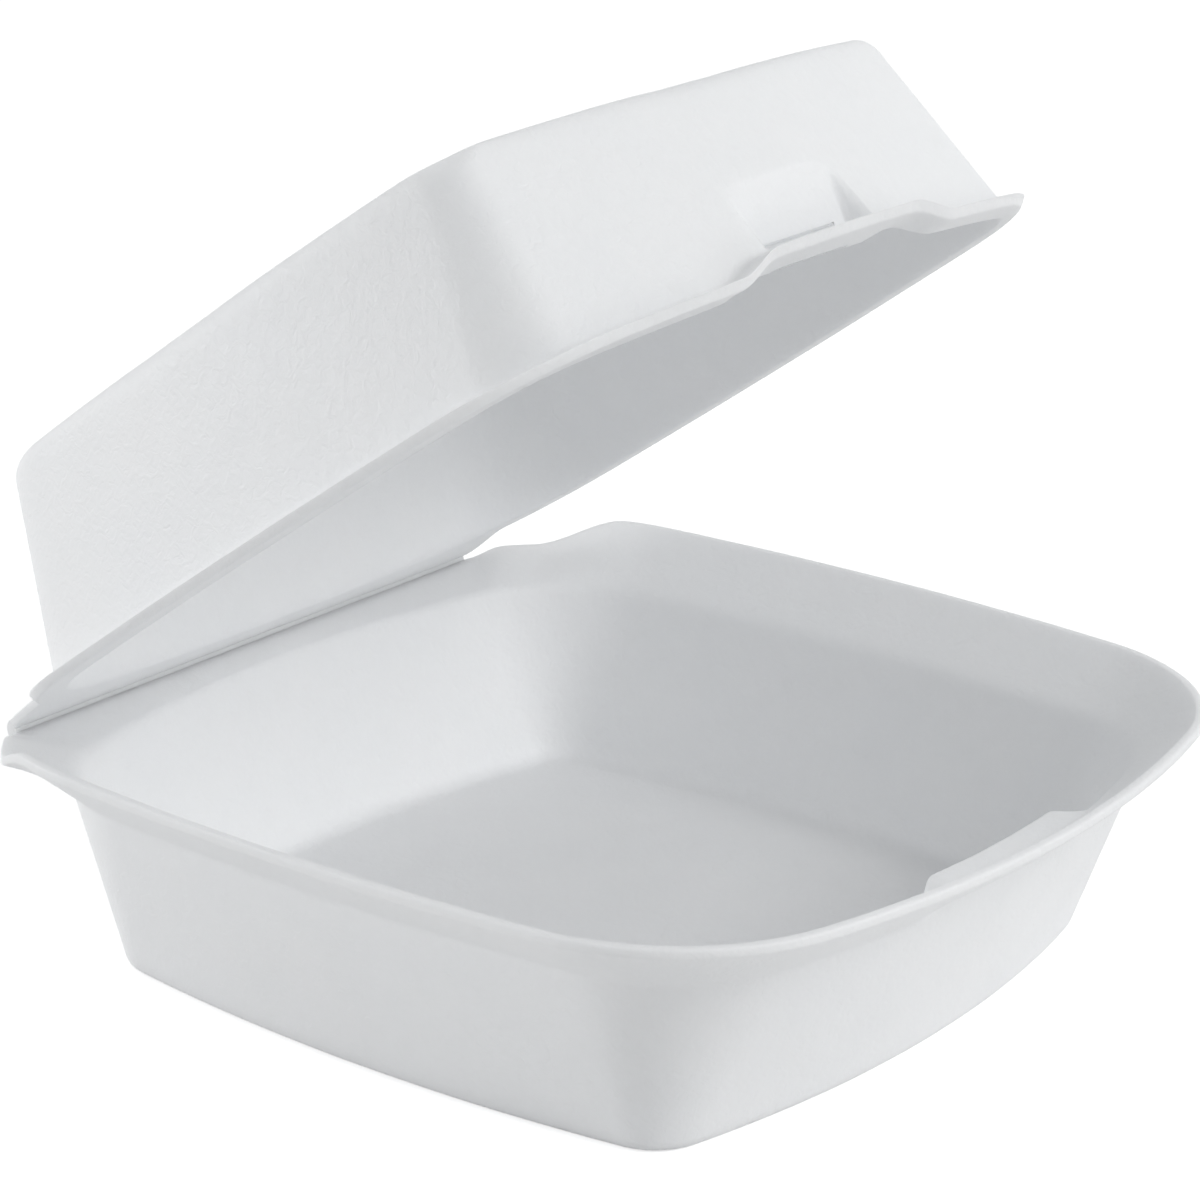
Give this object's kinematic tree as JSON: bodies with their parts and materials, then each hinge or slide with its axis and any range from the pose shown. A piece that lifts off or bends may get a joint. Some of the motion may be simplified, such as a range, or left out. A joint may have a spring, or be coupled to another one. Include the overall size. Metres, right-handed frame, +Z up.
{
  "type": "foam clamshell container",
  "caption": "Square foam food container: a bowed tray and a domed lid, formed from one sheet and folded along a crease, with a ledge and recess latch.",
  "frame": {"origin": "middle of the tray's flat underside", "axes": "+X across to the right, -Y to the front with the latch, +Y to the hinge, +Z up"},
  "size_m": [0.152, 0.1596, 0.1354],
  "materials": {
    "foam": "satin white foamed polystyrene with a fine wrinkled skin"
  },
  "bodies": {
    "tray": {"base_tray": "foam"},
    "lid": {"lid": "foam"}
  },
  "joints": [
    {"name": "crease_hinge", "type": "hinge", "parent": "tray", "child": "lid", "pos_m": [0, 0.0719, 0.032], "axis": [-1, 0, 0], "range_deg": [-36.2, 128]}
  ]
}
